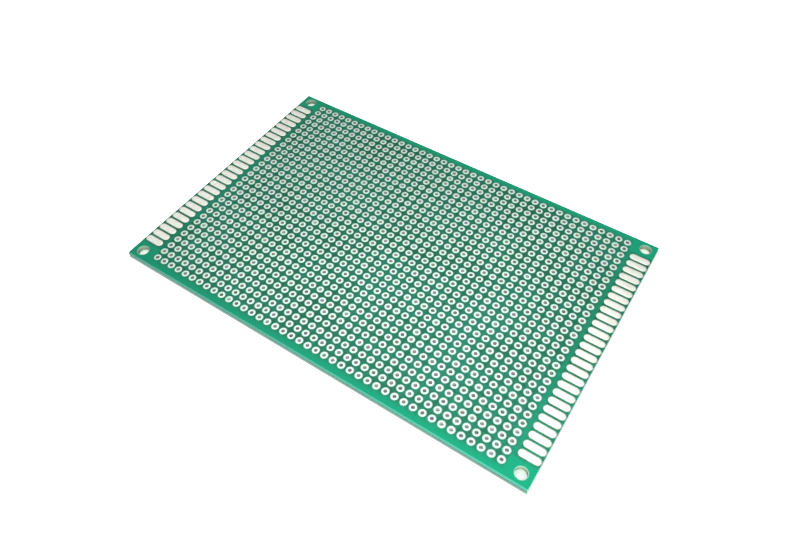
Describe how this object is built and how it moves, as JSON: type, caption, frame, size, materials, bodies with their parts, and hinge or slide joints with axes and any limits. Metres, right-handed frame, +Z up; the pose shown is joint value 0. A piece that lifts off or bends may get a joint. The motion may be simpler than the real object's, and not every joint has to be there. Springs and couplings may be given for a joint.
{
  "type": "prototype board",
  "caption": "Flat perforated circuit board with a grid of tinned plated holes, long solder lands along both short ends and a screw hole in each corner.",
  "frame": {"origin": "centre of the board at the underside of its solder lands, which is the face it lies on", "axes": "+X along the board's length, +Y across its width, +Z up through its thickness"},
  "size_m": [0.12, 0.08, 0.0016],
  "materials": {
    "laminate": "woven glass and epoxy sheet, seen bare at its cut edges and in the screw holes",
    "solder_mask": "glossy green solder mask, slightly translucent",
    "tinned_copper": "bright hot-air-levelled tin over copper, slightly domed"
  },
  "bodies": {
    "root": {"laminate": "laminate", "solder_mask_top": "solder_mask", "solder_mask_bottom": "solder_mask", "pad_row_01": "tinned_copper", "pad_row_02": "tinned_copper", "pad_row_03": "tinned_copper", "pad_row_04": "tinned_copper", "pad_row_05": "tinned_copper", "pad_row_06": "tinned_copper", "pad_row_07": "tinned_copper", "pad_row_08": "tinned_copper", "pad_row_09": "tinned_copper", "pad_row_10": "tinned_copper", "pad_row_11": "tinned_copper", "pad_row_12": "tinned_copper", "pad_row_13": "tinned_copper", "pad_row_14": "tinned_copper", "pad_row_15": "tinned_copper", "pad_row_16": "tinned_copper", "pad_row_17": "tinned_copper", "pad_row_18": "tinned_copper", "pad_row_19": "tinned_copper", "pad_row_20": "tinned_copper", "pad_row_21": "tinned_copper", "pad_row_22": "tinned_copper", "pad_row_23": "tinned_copper", "pad_row_24": "tinned_copper", "pad_row_25": "tinned_copper", "pad_row_26": "tinned_copper", "pad_row_27": "tinned_copper", "pad_row_28": "tinned_copper", "pad_row_29": "tinned_copper", "pad_row_30": "tinned_copper", "edge_lands_left_top": "tinned_copper", "edge_lands_right_top": "tinned_copper", "edge_lands_left_bottom": "tinned_copper", "edge_lands_right_bottom": "tinned_copper"}
  },
  "joints": []
}
